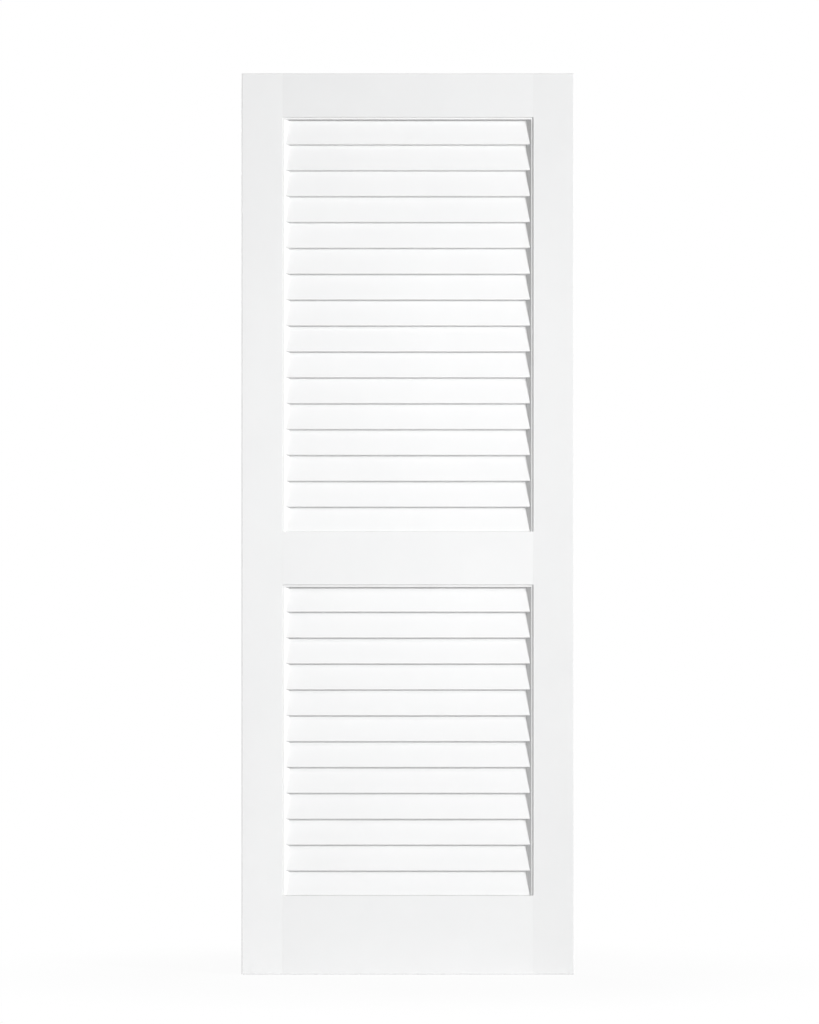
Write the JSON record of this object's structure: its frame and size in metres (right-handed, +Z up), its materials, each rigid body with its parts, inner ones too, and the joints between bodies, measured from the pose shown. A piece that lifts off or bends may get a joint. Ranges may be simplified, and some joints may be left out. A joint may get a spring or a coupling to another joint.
{
  "type": "louvered closet door",
  "caption": "White-painted wooden closet door leaf: fixed slanting louvers above and below a lock rail, in a doweled stile-and-rail frame.",
  "frame": {"origin": "middle of the door's bottom edge, halfway through its thickness", "axes": "+Z up along the stiles, +X to the right seen from the front, the front face looks along -Y"},
  "size_m": [0.75, 0.035, 2.032],
  "materials": {
    "white_paint": "smooth satin white paint over softwood",
    "beech": "bare turned beech"
  },
  "bodies": {
    "root": {"left_stile": "white_paint", "right_stile": "white_paint", "top_rail": "white_paint", "lock_rail": "white_paint", "bottom_rail": "white_paint", "upper_left_louver_strip": "white_paint", "upper_right_louver_strip": "white_paint", "lower_left_louver_strip": "white_paint", "lower_right_louver_strip": "white_paint", "upper_head_strip": "white_paint", "lower_head_strip": "white_paint", "upper_louver_01": "white_paint", "upper_louver_02": "white_paint", "upper_louver_03": "white_paint", "upper_louver_04": "white_paint", "upper_louver_05": "white_paint", "upper_louver_06": "white_paint", "upper_louver_07": "white_paint", "upper_louver_08": "white_paint", "upper_louver_09": "white_paint", "upper_louver_10": "white_paint", "upper_louver_11": "white_paint", "upper_louver_12": "white_paint", "upper_louver_13": "white_paint", "upper_louver_14": "white_paint", "upper_louver_15": "white_paint", "upper_louver_16": "white_paint", "lower_louver_01": "white_paint", "lower_louver_02": "white_paint", "lower_louver_03": "white_paint", "lower_louver_04": "white_paint", "lower_louver_05": "white_paint", "lower_louver_06": "white_paint", "lower_louver_07": "white_paint", "lower_louver_08": "white_paint", "lower_louver_09": "white_paint", "lower_louver_10": "white_paint", "lower_louver_11": "white_paint", "lower_louver_12": "white_paint", "top_rail_dowel_left_1": "beech", "top_rail_dowel_left_2": "beech", "top_rail_dowel_right_1": "beech", "top_rail_dowel_right_2": "beech", "lock_rail_dowel_left_1": "beech", "lock_rail_dowel_left_2": "beech", "lock_rail_dowel_right_1": "beech", "lock_rail_dowel_right_2": "beech", "bottom_rail_dowel_left_1": "beech", "bottom_rail_dowel_left_2": "beech", "bottom_rail_dowel_left_3": "beech", "bottom_rail_dowel_right_1": "beech", "bottom_rail_dowel_right_2": "beech", "bottom_rail_dowel_right_3": "beech"}
  },
  "joints": []
}
